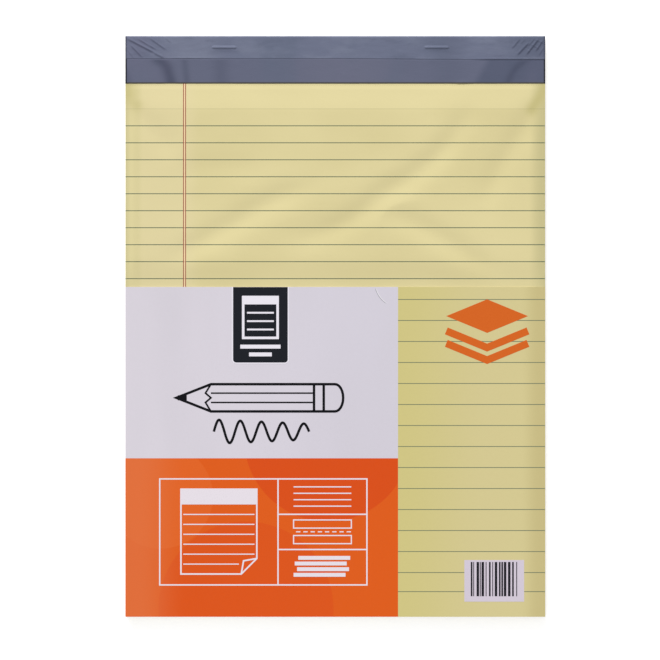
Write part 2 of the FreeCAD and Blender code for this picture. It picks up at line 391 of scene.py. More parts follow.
def staple_ridge(x, y, low, high):
    """1 over a crown: a ramp down from a short line a little below its middle."""
    middle = (low + high) / 2
    half_length = (high.x - low.x) / 2 - 0.5 * MM
    along = np.maximum(np.abs(x - middle.x) - half_length, 0)
    distance = np.hypot(along, y - middle.y + RIDGE_SHIFT)
    return 1 - ramp(distance, 0.3 * MM, 0.95 * MM)


def above_score(x, y):
    """Height above the scored line, which drops a little at its right end."""
    return y - SCORE_Y + SCORE_DROP * ramp(x, *DROP_RANGE)


def scored_step(x, y):
    """A ramp up across the scored line, a lip above it near both ends and a groove below it."""
    above = above_score(x, y)
    lip = 0.25 + bell(x - LEFT - 33 * MM, 8 * MM) + 0.9 * ramp(x, RIGHT - 40 * MM, RIGHT - 25 * MM)
    height = STEP_HEIGHT * ramp(above, -0.18 * MM, 0.18 * MM)
    height += 0.06 * MM * lip * bell(above - 0.4 * MM, 0.3 * MM)
    return height - 0.05 * MM * (0.5 + lip) * bell(above + 0.3 * MM, 0.25 * MM)


def corner_creases(x, y):
    """Each crease of the two lists, the right ones measured leftwards from the right edge."""
    height = np.zeros_like(x)
    for creases, edge, sign in ((LEFT_CREASES, LEFT, 1), (RIGHT_CREASES, RIGHT, -1)):
        for start, end, width, rise in creases:
            ends = [(edge + sign * px * MM, TOP - py * MM) for px, py in (start, end)]
            height += crease(x, y, *ends, width * MM, rise * MM)
    return height * ramp(above_score(x, y), -0.4 * MM, 0.6 * MM)


def soft_folds(x, y):
    """Nearness to a soft upright fold, from 0 to 1."""
    return strongest_near(x, y, SOFT_FOLDS) * ramp(-above_score(x, y), 0, 1.5 * MM)


def strip_shade(x, y):
    """How much painted shade the strip takes, in soft folds and just below creases and ridges."""
    below_creases = np.clip(corner_creases(x, y + 0.5 * MM) / (0.15 * MM), 0, 1)
    # Painted shade just below each staple ridge.
    ridge_shadows = sum(bell(x - (low.x + high.x) / 2, 7.5 * MM) for low, high in STAPLES)
    ridge_shadows = ridge_shadows * bell(y - CROWN_Y + 1.9 * MM, 1.3 * MM)
    return np.maximum(np.maximum(soft_folds(x, y), 0.75 * below_creases), 0.3 * ridge_shadows)


def strip_height(x, y):
    """All heights on the front flap added up, faded out at the fold."""
    height = RIDGE_HEIGHT * sum(staple_ridge(x, y, low, high) for low, high in STAPLES)
    height += scored_step(x, y) + corner_creases(x, y) - 0.06 * MM * soft_folds(x, y)
    height += 0.02 * MM * np.sin(x / (9 * MM) + 0.7 * np.sin(x / (23 * MM))) * ramp(SCORE_Y - y, 0, 6 * MM)
    wrinkles = np.sin(y / (0.55 * MM) + 2.2 * np.sin(x / (8 * MM)) + 1.3 * np.sin(x / (3.1 * MM)))
    height += 0.012 * MM * wrinkles * np.sin(x / (14 * MM)) ** 2 * ramp(above_score(x, y), 0.6 * MM, 2 * MM)
    lifted = bell(x - LEFT - 172.8 * MM, 3.5 * MM) * bell(y - FLAP_END, 1.4 * MM)
    return (height + 0.14 * MM * lifted) * ramp(TOP - y, -0.1 * MM, 0.9 * MM)


# %% The strip
ridge_ends = [(corner.x, 1.5 * MM, 2) for staple in STAPLES for corner in staple]
strip_x = crowded(LEFT, RIGHT, 300, (LEFT, 24 * MM, 2.4), (RIGHT, 20 * MM, 2.6), *ridge_ends)
across, up = np.meshgrid(strip_x, section[:, 0])
on_front = (outward[:, 1] > 0.99)[:, None]
height = np.where(on_front, strip_height(across, up), 0)


def off_section(rise):
    """The section's points moved along their outward directions."""
    return stacked(across, section[:, :1] + outward[:, :1] * rise, section[:, 1:] + outward[:, 1:] * rise)


strip_shell = shell(off_section(height), off_section(np.maximum(height, 0) - TAPE))
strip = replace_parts(make_piece("binding_strip", [strip_shell]), "binding_tape")
shade_share = np.where(on_front, strip_shade(across, up), 0)
keep_with_mesh(strip, "shade", (shade_share, shade_share))
print(f"strip heights up to {height.max() / MM:.2f} mm, closest columns {np.diff(strip_x).min() / MM:.2f} mm")

# %% [markdown]
# ## The card
#
# The card is stiff and lies flat on the page. Its print is made of fields of colour, which its material
# paints, and of plain signs, which are thin films of ink on it. No word or number is drawn.

# %% The card's surface
CARD_Z = card_high.z
across, up = np.linspace(card_low.x, card_high.x, 73), np.linspace(card_low.y, card_high.y, 57)
card_x, card_y = np.meshgrid(across, up)
card = make_piece("card", [shell(stacked(card_x, card_y, CARD_Z), stacked(card_x, card_y, PAGE_Z))])
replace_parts(card, "printed_card")

# %% [markdown]
# A shape of ink is a flat grid of places on the card. A stroke is a path with a width: its two sides are
# the path moved left and right, further at a corner by one over the cosine of half the turn, so that it
# comes out square. Each shape of a print lies a hair higher than the one before, so no two faces meet where
# shapes cross, and a print on top of another is a whole layer up.

# %% Shapes of ink
INK = 0.03 * MM
HAIR = 0.0015 * MM


def on_card(x, y):
    """Page places, in metres, of places in millimetres from the card's lower left corner."""
    return card_low.x + np.asarray(x) * MM, card_low.y + np.asarray(y) * MM


def stroke(points, width, closed=False):
    """A band along a path: each point moved both ways along the mean of its two side directions."""
    path = np.array(points, float)
    if closed:
        path = np.concatenate((path, path[:1]))
        before, after = path[-2:-1], path[1:2]
    else:
        before, after = 2 * path[:1] - path[1:2], 2 * path[-1:] - path[-2:-1]
    ways = np.diff(np.concatenate((before, path, after)), axis=0)
    ways /= np.hypot(*ways.T)[:, None]
    mean = ways[:-1] + ways[1:]
    mean /= np.hypot(*mean.T)[:, None]
    side = np.stack((-mean[:, 1], mean[:, 0]), axis=-1)
    offset = side * (width / 2 / np.maximum((mean * ways[:-1]).sum(axis=1), 0.35))[:, None]
    sides = np.stack((path - offset, path + offset), axis=1)
    return on_card(sides[..., 0], sides[..., 1])


def patch(left, right, low, high, round_low=0.0):
    """A filled rectangle. Its lower corners are round where round_low gives a radius."""
    level = np.concatenate((np.linspace(0, round_low, 9)[:-1], (round_low, high - low)))
    level = level if round_low else level[8:]
    depth = np.maximum(round_low - level, 0)
    inset = round_low - np.sqrt(round_low ** 2 - depth ** 2)
    x = np.stack((left + inset, right - inset), axis=1)
    return on_card(x, np.broadcast_to((low + level)[:, None], x.shape))


def frame_line(left, right, low, high, width):
    """The outline of a rectangle as one closed stroke."""
    return stroke(((left, low), (right, low), (right, high), (left, high)), width, closed=True)


def ink_piece(name, layer, shapes):
    """One print: each shape a closed film from just inside the card to its layer, a hair higher each."""
    films = [
        shell(stacked(x, y, CARD_Z + layer * INK + number * HAIR), stacked(x, y, CARD_Z - INK))
        for number, (x, y) in enumerate(shapes)
    ]
    print_piece = make_piece(name, films)
    return print_piece


# %% [markdown]
# In the upper field a dark tag with a thin white rim hangs from the card's top edge, with the sign of a
# ruled pad over two plain bars. Under it are a long pencil and the wavy line that it has drawn.

# %% The tag and the pencil
TAG = (55.4, 83.5, 130.7, 169.5)
PEN = 1.3
PENCIL_Y = 112.6


def pencil():
    """A pencil that points left: barrel, two facet lines, cut cone, lead, ferrule and rubber."""
    tip, cone, ferrule, rubber, end = 26.2, 44.0, 97.0, 102.0, 112.0
    half, facet = 7.0, 2.4
    high, low = PENCIL_Y + half, PENCIL_Y - half
    turn = np.linspace(math.pi / 2, -math.pi / 2, 13)
    round_x = end - half * 0.6 * (1 - np.cos(turn))
    rubber_end = np.stack((round_x, PENCIL_Y + half * np.sin(turn)), axis=-1)
    outline = np.concatenate(([(tip, PENCIL_Y), (cone, high)], rubber_end, [(cone, low)]))
    notch = cone - 2.8
    cut = ((cone, high), (notch, PENCIL_Y + facet), (cone, PENCIL_Y), (notch, PENCIL_Y - facet), (cone, low))
    lines = [(cut, 0.7)]
    lines += [(((cone, level), (ferrule, level)), 0.6) for level in (PENCIL_Y + facet, PENCIL_Y - facet)]
    lines += [(((x, low), (x, high)), 1.0) for x in (ferrule, rubber)]
    lines.append((((tip + 0.8, PENCIL_Y), (tip + 5.4, PENCIL_Y)), 2.0))
    return [stroke(outline, PEN, closed=True)] + [stroke(points, PEN * share) for points, share in lines]


def drawn_line():
    """The pencil's line: a sine wave that dies away to the right."""
    share = np.linspace(0, 1, 120)
    x = 45.5 + 49 * share
    y = 95.2 + 6.2 * (1 - 0.35 * share) * np.sin(2 * math.pi * 4.5 * share)
    return stroke(np.stack((x, y), axis=-1), PEN)


def tag_rim():
    """A thin line round the tag's sides and its round lower corners."""
    left, right, low, high = TAG[0] - 0.3, TAG[1] + 0.3, TAG[2] - 0.3, TAG[3]
    radius = 1.9
    turn = np.linspace(0, math.pi / 2, 9)
    near_left = (left + radius, low + radius) - radius * np.stack((np.cos(turn), np.sin(turn)), axis=-1)
    near_right = near_left[::-1] * (-1, 1) + (left + right, 0)
    return stroke(np.concatenate(([(left, high)], near_left, near_right, [(right, high)])), 0.6)


tag_print = ink_piece("tag_print", 1, [patch(*TAG, round_low=1.6)])
pen_print = ink_piece("pen_print", 1, [*pencil(), drawn_line()])

# %% [markdown]
# The lower field has a white-lined frame. Its large cell shows a pad with a lifted corner, the small ones
# ruled lines, a dashed tear line and a stack of sheets.

# %% White and pale shapes
FRAME = (17.7, 124.2, 16.4, 70.9)
FRAME_PEN = 0.72
DIVIDER_X = 78.5
SMALL_CELLS = (34.6, 52.7)
SIGN_PEN = 0.6


def frame_lines():
    """The outer frame, the upright divider and the two level ones at its right."""
    left, right, low, high = FRAME
    divider = stroke(((DIVIDER_X, low), (DIVIDER_X, high)), FRAME_PEN)
    cells = [stroke(((DIVIDER_X, level), (right, level)), FRAME_PEN) for level in SMALL_CELLS]
    return [frame_line(left, right, low, high, FRAME_PEN), divider, *cells]


def pad_sign(left, right, low, high, rules, pen, curl=0.0):
    """A pad seen from the front: outline, filled head and evenly spaced rules, with a lifted corner."""
    head = (high - low) * 0.18
    outline = [(left, low), (right - curl, low), (right, low + curl), (right, high), (left, high)]
    shapes = [stroke(outline if curl else outline[:2] + outline[3:], pen, closed=True)]
    shapes.append(patch(left, right, high - head, high))
    if curl:
        lifted = (right - curl * 0.85, low + curl * 0.85)
        shapes.append(stroke(((right - curl, low), lifted, (right, low + curl)), pen))
    gap = (high - head - low) / (rules + 1)
    for number in range(1, rules + 1):
        level = low + gap * number
        end = right - pen * 1.5 - (curl if level < low + curl else 0)
        shapes.append(stroke(((left + pen * 1.5, level), (end, level)), pen * 0.7))
    return shapes


def small_signs():
    """Ruled lines, a dashed tear line between two sheets, and a stack seen from its edge."""
    left, right = DIVIDER_X + 8, FRAME[1] - 8
    rules = [stroke(((left, level), (right, level)), SIGN_PEN) for level in (56.9, 60.2, 63.5, 66.8)]
    dashes = np.linspace(left, right, 9)[:-1] + 1.3
    tear = [stroke(((start, 43.7), (start + 2.2, 43.7)), SIGN_PEN) for start in dashes]
    halves = [frame_line(left, right, low, low + 4.2, SIGN_PEN) for low in (37.6, 45.6)]
    slips = ((20.6, 0), (23.5, 1.8), (26.4, 0.6), (29.3, 2.4))
    stack = [patch(left + shift, right + shift - 3, level, level + 2.0) for level, shift in slips]
    return rules + tear + halves + stack


tag_left, tag_right = TAG[0] + 5.2, TAG[1] - 5.2
tag_sign = pad_sign(tag_left, tag_right, 143.4, 164.4, 3, 1.3)
long_bar = patch(tag_left - 1.5, tag_right + 1.5, 137.9, 139.9)
short_bar = patch(tag_left + 3, tag_right - 3, 133.9, 135.9)
large_sign = pad_sign(28.6, 67.6, 22.0, 65.6, 6, 0.8, curl=8.0)
white_print = ink_piece("white_print", 1, frame_lines() + large_sign + small_signs())
pale_print = ink_piece("pale_print", 2, [tag_rim(), long_bar, short_bar] + tag_sign)

# %% [markdown]
# The ruled part of the card has a larger sign in orange, three plates in a stack, and a pale box with
# upright bars, whose widths come from a seeded draw and mean nothing.

# %% The stack sign and the bars
STACK_MIDDLE = (186.0, 154.6)
STACK_HALF = (21.0, 8.6)
STACK_STEP = 6.4
STACK_GAP = 1.2
STACK_PEN = 3.8
BOX = (174.3, 205.0, 7.8, 29.2)
BARS = (177.6, 201.4, 10.6, 28.2)
BAR_COUNT = 15


def stack_sign():
    """The top plate as a diamond, nearly pointed at its tips, and the front edges of two more below it."""
    x, y = STACK_MIDDLE
    half_x, half_y = STACK_HALF
    across = x + half_x * np.array(((-0.005, 0.005), (-1, 1), (-0.005, 0.005)))
    shapes = [on_card(across, y + half_y * np.array(((-1, -1), (0, 0), (1, 1))))]
    for level in (y - STACK_STEP - STACK_GAP, y - STACK_STEP * 2 - STACK_GAP):
        shapes.append(stroke(((x - half_x, level), (x, level - half_y), (x + half_x, level)), STACK_PEN))
    return shapes


def upright_bars():
    """Dark bars and gaps in turn, each of one to three units, spread from the left end to the right."""
    left, right, low, high = BARS
    widths = rng.integers(1, 4, 2 * BAR_COUNT - 1)
    ends = left + (right - left) * np.concatenate(([0], np.cumsum(widths))) / widths.sum()
    return [patch(start, end, low, high) for start, end in zip(ends[0::2], ends[1::2])]


orange_print = ink_piece("orange_print", 1, stack_sign())
box_print = ink_piece("box_print", 1, [patch(*BOX)])
bar_print = ink_piece("bar_print", 2, upright_bars())

# %% [markdown]
# ## Materials
#
# A shader is a sum like any other, so it reads best when it is written like one. The class below makes one
# material: most of its methods add a node and give back its result for the next step, and each tint blends
# the colour so far towards another. Patterns come from each point's place on the pad, which never slides. The
# first line numbers the Mix node's sockets for colours.


# %% A material, step by step
MIX_FACTOR, MIX_FIRST, MIX_SECOND, MIX_RESULT = 0, 6, 7, 2


class Finish:
    """One material. Each step's inputs are numbers or the results of other steps."""

    def __init__(self, name, roughness, specular=0.5):
        self.material = bpy.data.materials.new(name)
        self.material.use_nodes = True
        self.tree = self.material.node_tree
        self.shader = self.tree.nodes["Principled BSDF"]
        self.shader.inputs["Roughness"].default_value = roughness
        self.shader.inputs["Specular IOR Level"].default_value = specular
        self.place = self.step("ShaderNodeTexCoord", "Object")
        split = self.tree.nodes.new("ShaderNodeSeparateXYZ")
        self.tree.links.new(self.place, split.inputs[0])
        self.x, self.y, self.z = split.outputs
        self.colour = self.normal = None

    def feed(self, value, socket):
        """Link a result to a socket, or set the socket to a plain value."""
        if isinstance(value, bpy.types.NodeSocket):
            self.tree.links.new(value, socket)
        else:
            socket.default_value = value

    def step(self, kind, output, inputs=(), **settings):
        """Add a node, set and feed it, and give back one of its outputs."""
        node = self.tree.nodes.new(kind)
        for name, value in settings.items():
            setattr(node, name, value)
        for name, value in dict(inputs).items():
            self.feed(value, node.inputs[name])
        return node.outputs[output]

    def sum(self, operation, *values):
        """A Math node."""
        return self.step("ShaderNodeMath", 0, dict(enumerate(values)), operation=operation)

    def times(self, first, *others):
        """The product of its values."""
        for value in others:
            first = self.sum("MULTIPLY", first, value)
        return first

    def ramp(self, value, low, high):
        """0 at low, 1 at high and smooth between. Low may be the larger of the two."""
        inputs = {"Value": value, "From Min": low, "From Max": high}
        return self.step("ShaderNodeMapRange", "Result", inputs, interpolation_type="SMOOTHSTEP")

    def band(self, value, middle, width, soft):
        """1 within half a width of the middle, 0 beyond, with soft edges."""
        distance = self.sum("ABSOLUTE", self.sum("SUBTRACT", value, middle))
        return self.ramp(distance, width / 2 + soft, width / 2 - soft)

    def distance_from(self, x, y):
        """Distance from an upright line through a place on the page."""
        across = self.sum("POWER", self.sum("SUBTRACT", self.x, x), 2.0)
        along = self.sum("POWER", self.sum("SUBTRACT", self.y, y), 2.0)
        return self.sum("SQRT", self.sum("ADD", across, along))

    def lines(self, value, first, pitch, width, soft):
        """Bands a pitch apart, with one at first: the value wraps round to half a pitch each way."""
        offset = self.sum("WRAP", self.sum("SUBTRACT", value, first), pitch / 2, -pitch / 2)
        return self.band(offset, 0.0, width, soft)

    def noise(self, scale, detail=3.0, stretch=(1, 1, 1), roughness=0.5):
        """Noise from 0 to 1, scale spots to the metre, squeezed along each direction by stretch."""
        place = self.step("ShaderNodeMapping", 0, {"Vector": self.place, "Scale": stretch})
        inputs = {"Vector": place, "Scale": scale, "Detail": detail, "Roughness": roughness}
        return self.step("ShaderNodeTexNoise", 0, inputs)

    def kept(self, name):
        """A number kept with the mesh."""
        return self.step("ShaderNodeAttribute", "Fac", attribute_name=name)

    def mix(self, factor, first, second):
        """The first colour where factor is 0, the second where it is 1, both as a screen shows them."""
        first, second = (screen_colour(*c) if isinstance(c, tuple) else c for c in (first, second))
        inputs = {MIX_FACTOR: factor, MIX_FIRST: first, MIX_SECOND: second}
        return self.step("ShaderNodeMix", MIX_RESULT, inputs, data_type="RGBA")

    def tint(self, colour, *strengths):
        """Blend the colour so far towards another, by the product of the strengths."""
        self.colour = self.mix(self.times(*strengths), self.colour, colour)

    def bump(self, height, depth):
        """Tilt the surface by a height that depth turns into metres. Bumps add up."""
        inputs = {"Height": height, "Distance": depth, "Strength": 1.0}
        if self.normal is not None:
            inputs["Normal"] = self.normal
        self.normal = self.step("ShaderNodeBump", 0, inputs)

    def paint(self, *pieces):
        """Give the finished colour and normal to the shader, and the material to the pieces."""
        self.feed(self.colour, self.shader.inputs["Base Color"])
        if self.normal is not None:
            self.feed(self.normal, self.shader.inputs["Normal"])
        for piece in pieces:
            piece.data.materials.clear()
            piece.data.materials.append(self.material)
        names = ", ".join(piece.name for piece in pieces)
        print(f"{self.material.name}: {len(self.tree.nodes)} nodes on {names}")


# %% [markdown]
# The page is pale yellow, with painted light at its head, paler beside the margin, painted shade at its side
# edges and upper corners, a painted shadow just under the strip, and fine fibres. Its rules are 11/32 of an
# inch apart, with two thin red lines at the margin, and the inks soak in, so their edges are soft. One more
# rule shows faintly from the sheet below. A row of fine cuts under the strip lets a sheet tear off, and each
# sheet's edge has its own tone. Paper that bends even a little catches the light, so the material tilts the
# surface once more by the height that was kept with the mesh.

# %% Ruled yellow paper
RULE_PITCH = 25.4 * 11 / 32 * MM
FIRST_RULE = TOP - 46.03 * MM
RULE_WIDTH = 0.36 * MM
RULE_INK = (32, 78, 64)
INK_EDGE = 0.07 * MM
MARGIN_LINES = (LEFT + 29.9 * MM, LEFT + 31.0 * MM)
FOLD_LIGHT = 2.2


def page_tones_and_shade(paper):
    """Yellow, slowly varied, paler beside the margin, with painted light at the head, painted shade along the
    left and right edges and at the upper corners, and a painted shadow just under the strip.
    """
    tone = paper.ramp(paper.noise(16, detail=2.0, stretch=(1.0, 1.8, 1.0)), 0.3, 0.7)
    paper.colour = paper.mix(tone, (225, 213, 160), (218, 206, 153))
    faint_rule = FIRST_RULE + RULE_PITCH
    # Painted light: the head above the faint rule is lighter.
    paper.tint((230, 218, 166), paper.ramp(paper.y, faint_rule - 0.3 * MM, faint_rule + 0.3 * MM), 0.45)
    paper.tint((228, 215, 168), paper.ramp(paper.x, MARGIN_LINES[0] + 10 * MM, MARGIN_LINES[0]), 0.5)
    # Painted shade along the left edge, in two steps, and along the right edge.
    paper.tint((214, 204, 150), paper.ramp(paper.x, LEFT + 9.5 * MM, LEFT + 6 * MM), 0.5)
    paper.tint((200, 192, 146), paper.ramp(paper.x, LEFT + 3 * MM, LEFT), 0.6)
    paper.tint((196, 188, 138), paper.ramp(paper.x, RIGHT - 9 * MM, RIGHT), 0.8)
    # Painted shade in the patches at the page's upper corners, kept with the mesh.
    paper.tint((198, 188, 128), paper.kept("shade"))
    # Painted shadow on the page just under the strip's flap.
    paper.tint((140, 133, 106), paper.ramp(paper.y, FLAP_END - 0.7 * MM, FLAP_END - 0.1 * MM), 0.6)


def sheet_edges(paper, side):
    """On the block's sides: a seeded tone for each sheet, and a dark line where two sheets meet."""
    level = paper.sum("DIVIDE", paper.sum("SUBTRACT", paper.z, sheets_low.z), SHEET)
    number = paper.sum("FLOOR", level)
    tone = paper.step("ShaderNodeTexWhiteNoise", "Value", {"W": number}, noise_dimensions="1D")
    paper.tint((196, 182, 128), side, tone, 0.5)
    paper.tint((120, 108, 72), side, paper.ramp(paper.sum("FRACT", level), 0.82, 0.98), 0.7)


def page_print(paper, strength):
    """Rules, the faint rule above them, the double margin line, and the row of fine cuts."""
    rules = paper.lines(paper.y, FIRST_RULE, RULE_PITCH, RULE_WIDTH, INK_EDGE)
    half = RULE_PITCH / 2
    first = paper.ramp(paper.y, FIRST_RULE + half * 1.01, FIRST_RULE + half)
    faint = paper.times(paper.ramp(paper.y, FIRST_RULE + half * 3, FIRST_RULE + half * 2.99), 0.14)
    paper.tint(RULE_INK, rules, paper.sum("MAXIMUM", first, faint), strength)
    between = paper.band(paper.x, sum(MARGIN_LINES) / 2, MARGIN_LINES[1] - MARGIN_LINES[0], INK_EDGE)
    paper.tint((248, 210, 172), between, strength, 0.6)
    for line in MARGIN_LINES:
        paper.tint((146, 54, 34), paper.band(paper.x, line, 0.38 * MM, 0.06 * MM), strength)
    cut_row = paper.band(paper.y, FLAP_END - 1.1 * MM, 0.14 * MM, 0.04 * MM)
    cuts = paper.lines(paper.x, LEFT, 0.9 * MM, 0.5 * MM, 0.04 * MM)
    paper.tint((150, 138, 96), cut_row, cuts, strength, 0.5)


def ruled_paper():
    """The sheets' paper: tones, fibres, sheet edges and print."""
    paper = Finish("ruled_paper", roughness=0.8, specular=0.2)
    fibres = paper.noise(2600, detail=4.0, stretch=(1.0, 0.35, 1.0))
    page_tones_and_shade(paper)
    paper.tint((198, 184, 130), fibres, 0.1)
    top_sheet = paper.ramp(paper.z, PAGE_Z - 0.16 * MM, PAGE_Z - 0.1 * MM)
    sheet_edges(paper, paper.sum("SUBTRACT", 1.0, top_sheet))
    page_print(paper, paper.sum("ADD", 0.35, paper.times(top_sheet, 0.65)))
    paper.bump(fibres, 0.015 * MM)
    paper.bump(paper.kept("relief"), FOLD_LIGHT)
    paper.paint(sheets)


ruled_paper()

# %% [markdown]
# The strip is slate-blue paper with a slight sheen, lighter and bluer above the scored line, with painted
# sheen streaks there, and with painted shade towards the right and in its soft folds. Along the top fold its
# colour is worn a little. Its lower edge is dark, partly as its cut edge and partly as painted shade, a
# painted shadow follows the scored line at the right, and painted shade makes its ends nearly black below the
# scored line.


# %% Binding paper
def height_above_score(paper):
    """The same distance from the scored line as for the mesh, in nodes."""
    drop = paper.times(paper.ramp(paper.x, *DROP_RANGE), SCORE_DROP)
    return paper.sum("ADD", paper.sum("SUBTRACT", paper.y, SCORE_Y), drop)


def strip_tones(paper):
    """Two blues parted at the scored line, slow blotches, painted shade over the right part, below creases
    and ridges and in soft folds, and painted sheen streaks above the line.
    """
    above = paper.ramp(height_above_score(paper), -0.2 * MM, 0.2 * MM)
    below = paper.sum("SUBTRACT", 1.0, above)
    paper.colour = paper.mix(above, (98, 102, 123), (107, 113, 135))
    paper.tint((110, 111, 130), paper.band(paper.x, LEFT + 112 * MM, 46 * MM, 16 * MM), below, 0.4)
    paper.tint((122, 127, 147), paper.band(paper.x, LEFT + 34 * MM, 26 * MM, 8 * MM), above, 0.5)
    paper.tint((86, 92, 112), paper.band(paper.x, LEFT + 166 * MM, 14 * MM, 7 * MM), 0.35)
    slanted = paper.sum("SUBTRACT", paper.x, paper.times(paper.sum("SUBTRACT", paper.y, SCORE_Y), 0.55))
    # Painted shade: the right part is darker, below the scored line from a slanted border and above it
    # towards the right end.
    paper.tint((83, 89, 110), paper.ramp(slanted, LEFT + 184 * MM, LEFT + 190 * MM), below)
    paper.tint((87, 94, 114), paper.ramp(paper.x, LEFT + 186 * MM, RIGHT), above, 0.8)
    # Painted sheen: pale streaks above the scored line.
    sheen_streaks = paper.noise(110, detail=5.0, stretch=(0.3, 1.0, 1.0), roughness=0.6)
    paper.tint((126, 132, 152), paper.ramp(sheen_streaks, 0.45, 0.65), above, 0.45)
    stain = paper.noise(150, detail=5.0, stretch=(0.3, 1.2, 1.0), roughness=0.65)
    paper.tint((84, 90, 110), paper.ramp(stain, 0.52, 0.68), above, 0.35)
    # Painted shade in the soft folds, just below the creases and below the staple ridges.
    paper.tint((66, 71, 91), paper.kept("shade"))
    cool = paper.noise(38, detail=3.0, stretch=(1.0, 0.5, 1.0))
    paper.tint((93, 102, 122), paper.ramp(cool, 0.5, 0.75), 0.5)
    warm = paper.noise(30, detail=3.0, stretch=(0.7, 0.4, 1.3))
    paper.tint((108, 106, 130), paper.ramp(warm, 0.52, 0.75), 0.45)


def strip_edges(paper):
    """The worn fold at the top, the flap's lower edge, dark partly as its cut edge and partly as painted
    shade, a painted shadow along the scored line at the right, and painted shade at both ends.
    """
    in_front = paper.ramp(paper.z, PAGE_Z - 0.6 * MM, PAGE_Z)
    fold = paper.ramp(paper.y, edge_y - 0.7 * MM, edge_y - 0.2 * MM)
    spots = paper.ramp(paper.noise(1400, detail=4.0, stretch=(0.4, 1.0, 1.0)), 0.5, 0.68)
    paper.tint((150, 154, 168), fold, in_front, spots, 0.45)
    # The flap's lower edge: partly its dark cut edge, partly painted shade.
    lower_edge = paper.ramp(paper.y, FLAP_END + 0.85 * MM, FLAP_END + 0.35 * MM)
    paper.tint((72, 70, 66), lower_edge, in_front)
    level = height_above_score(paper)
    # Painted shadow along the right part of the scored line.
    right_part = paper.ramp(paper.x, RIGHT - 40 * MM, RIGHT - 30 * MM)
    paper.tint((52, 57, 76), paper.band(level, -0.4 * MM, 0.4 * MM, 0.15 * MM), right_part, 0.7)
    below = paper.ramp(level, 0.3 * MM, -0.3 * MM)
    strength = paper.sum("ADD", 0.5, paper.times(below, 0.48))
    # Painted shade at both ends of the strip, nearly black below the scored line.
    for end, inwards in ((LEFT, 1), (RIGHT, -1)):
        shaded_end = paper.ramp(paper.x, end + inwards * 0.95 * MM, end + inwards * 0.6 * MM)
        paper.tint((14, 15, 24), shaded_end, strength)


def binding_paper():
    """The strip's paper: tones, fibres, edges and a faint grain."""
    paper = Finish("binding_paper", roughness=0.62, specular=0.2)
    fibres = paper.noise(2200, detail=5.0, stretch=(0.5, 1.0, 1.0))
    strip_tones(paper)
    paper.tint((78, 82, 100), fibres, 0.16)
    strip_edges(paper)
    paper.bump(fibres, 0.03 * MM)
    paper.bump(paper.noise(160, detail=3.0, stretch=(0.6, 1.0, 1.0)), 0.12 * MM)
    paper.paint(strip)


binding_paper()

# %% [markdown]
# The card's coated side has three fields: pale lilac-grey above, orange below and ruled yellow at the right.
# Over the orange lie three large discs as plain ornament, and a short curved crease, drawn as a painted
# highlight beside a painted shade line, marks the pale field.
# The back and the cut edges are bare grey-white card.

# %% Printed card
PALE_LOW = card_low.y + 81.5 * MM
RULED_LEFT = card_low.x + 140.2 * MM
CARD_RULE_PITCH = 10.8 * MM
CARD_FIRST_RULE = card_low.y + 163.15 * MM
CARD_LAST_RULE = card_low.y + 12.95 * MM
PRINT_EDGE = 0.08 * MM
DISCS = (
    (104, 92, 43, (214, 66, 12)),
    (62, 4, 45, (219, 78, 18)),
    (18, 62, 27, (228, 104, 38)),
)
CREASE_CENTRE = (card_low.x + 141.0 * MM, card_low.y + 171.9 * MM)
CREASE_RADIUS = 12.8 * MM


def pale_field(coat):
    """Lilac-grey, a little darker to the right, with a thin curved crease near its upper right corner,
    painted as a highlight beside a shade line.
    """
    across = coat.ramp(coat.x, card_low.x, RULED_LEFT)
    coat.colour = coat.mix(across, (219, 213, 222), (213, 208, 219))
    soft = coat.ramp(coat.noise(18, detail=2.0, stretch=(1.6, 0.5, 1.0)), 0.35, 0.8)
    coat.tint((208, 203, 212), soft, 0.5)
    x, y = CREASE_CENTRE
    ring = coat.distance_from(x, y)
    near = coat.times(
        coat.ramp(coat.x, x - 6.2 * MM, x - 7.6 * MM),
        coat.ramp(coat.y, y - 11.4 * MM, y - 10.2 * MM),
        coat.ramp(coat.y, y - 2.6 * MM, y - 4 * MM),
    )
    # Painted highlight and painted shade on either side of the crease.
    coat.tint((236, 234, 238), coat.band(ring, CREASE_RADIUS - 0.35 * MM, 0.4 * MM, INK_EDGE), near, 0.8)
    coat.tint((138, 138, 146), coat.band(ring, CREASE_RADIUS, 0.3 * MM, INK_EDGE), near, 0.8)
    return coat.colour


def orange_field(coat):
    """Orange with the discs over it, paler along the left edge."""
    coat.colour = (223, 92, 20)
    for x, y, radius, shade in DISCS:
        distance = coat.distance_from(card_low.x + x * MM, card_low.y + y * MM)
        coat.tint(shade, coat.ramp(distance, (radius + 0.3) * MM, (radius - 0.3) * MM), 0.6)
    coat.tint((226, 118, 68), coat.ramp(coat.x, card_low.x + 32 * MM, card_low.x + 6 * MM), 0.6)
    return coat.colour


def ruled_field(coat):
    """Yellow, paler in the middle and deeper at the right edge, with blue-green rules. The last is nearer."""
    middle = coat.ramp(coat.x, RULED_LEFT, RULED_LEFT + 48 * MM)
    coat.colour = coat.mix(middle, (209, 198, 132), (213, 201, 146))
    coat.tint((201, 188, 133), coat.ramp(coat.x, RIGHT - 13 * MM, RIGHT - 3 * MM))
    rules = coat.lines(coat.y, CARD_FIRST_RULE, CARD_RULE_PITCH, RULE_WIDTH, INK_EDGE)
    rules = coat.times(rules, coat.ramp(coat.y, CARD_LAST_RULE + 5 * MM, CARD_LAST_RULE + 5.1 * MM))
    last = coat.band(coat.y, CARD_LAST_RULE, RULE_WIDTH, INK_EDGE)
    coat.tint((96, 112, 92), coat.sum("MAXIMUM", rules, last))
    return coat.colour


